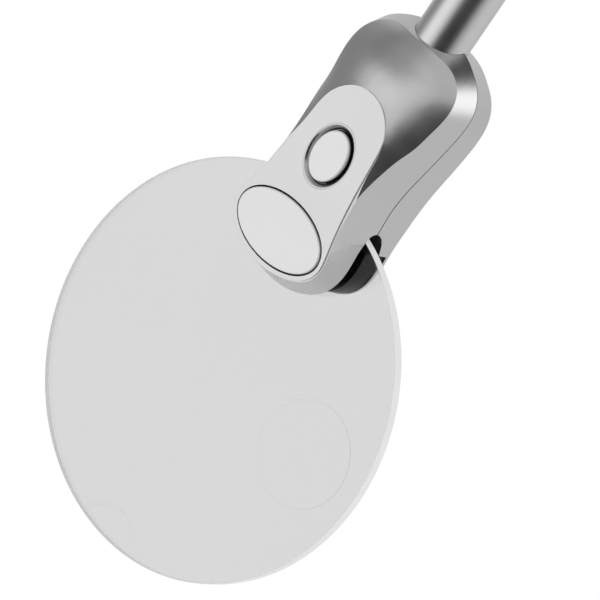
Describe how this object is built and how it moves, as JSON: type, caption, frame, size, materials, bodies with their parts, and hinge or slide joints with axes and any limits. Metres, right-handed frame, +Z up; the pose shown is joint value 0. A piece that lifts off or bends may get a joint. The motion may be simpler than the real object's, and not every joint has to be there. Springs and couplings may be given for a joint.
{
  "type": "extendable bathroom magnifier",
  "caption": "Wall-held telescoping arm carrying a rimless round magnifying lens in a lit silver clamp head with push button and nose pad.",
  "frame": {"origin": "centre of the wall plate's back face", "axes": "+Z up, +Y into the wall, +X to the right as seen from the room"},
  "size_m": [0.3226, 0.0789, 0.4432],
  "materials": {
    "shell": "satin silver paint",
    "plate": "fine satin silver",
    "keys": "satin silver",
    "lens": "clear, polished",
    "dark_plastic": "matte black",
    "led": "clear moulded lamp",
    "board": "laminate",
    "steel": "bright",
    "tube": "satin",
    "guide": "low-friction plastic",
    "chrome": "satin chrome",
    "casting": "satin"
  },
  "bodies": {
    "wall": {"wall_bracket": "casting"},
    "swivel": {"swivel_clevis": "casting", "thrust_washers": "guide", "friction_washers": "guide", "post_nut": "chrome", "tilt_bolt": "chrome", "tilt_nut": "chrome"},
    "outer_stage": {"outer_tube": "tube", "outer_collar": "chrome", "elbow_knuckle": "casting"},
    "middle_stage": {"middle_tube": "tube", "middle_collar": "chrome", "middle_guide": "guide"},
    "inner_stage": {"inner_tube": "tube", "tube_ring": "steel", "inner_guide": "guide"},
    "head": {"upper_shell": "shell", "lower_shell": "shell", "control_plate": "plate", "button_ring": "plate", "lens": "lens", "lamp_block": "dark_plastic", "clamp_block": "dark_plastic", "led_lamps": "led", "circuit_board": "board", "tact_switch": "dark_plastic", "coin_cells": "steel", "cell_contact": "steel", "side_contact": "steel", "battery_door": "shell", "shell_screws": "steel", "door_screw": "steel", "button_spring": "steel", "pad_spring": "steel"},
    "button": {"power_button": "keys"},
    "nose_key": {"nose_pad": "keys"}
  },
  "joints": [
    {"name": "wall_swivel", "type": "hinge", "parent": "wall", "child": "swivel", "pos_m": [0, -0.062, 0], "axis": [0, 0, 1], "range_deg": [0, 180]},
    {"name": "arm_tilt", "type": "hinge", "parent": "swivel", "child": "outer_stage", "pos_m": [0, -0.062, -0.042], "axis": [0, 1, 0], "range_deg": [-38, 70]},
    {"name": "middle_slide", "type": "slide", "parent": "outer_stage", "child": "middle_stage", "axis": [-0.6157, 0, -0.788], "range_m": [0, 0.15]},
    {"name": "inner_slide", "type": "slide", "parent": "middle_stage", "child": "inner_stage", "axis": [-0.6157, 0, -0.788], "range_m": [0, 0.15]},
    {"name": "head_roll", "type": "hinge", "parent": "inner_stage", "child": "head", "pos_m": [-0.17608, -0.062, -0.26737], "axis": [0.6157, 0, 0.788], "range_deg": [-170, 170]},
    {"name": "button_press", "type": "slide", "parent": "head", "child": "button", "axis": [0, 1, 0], "range_m": [0, 0.0008], "stiffness_N_per_m": 1500, "deforming": ["button_spring"]},
    {"name": "pad_press", "type": "slide", "parent": "head", "child": "nose_key", "axis": [0, 1, 0], "range_m": [0, 0.0008], "stiffness_N_per_m": 1500, "deforming": ["pad_spring"]}
  ]
}
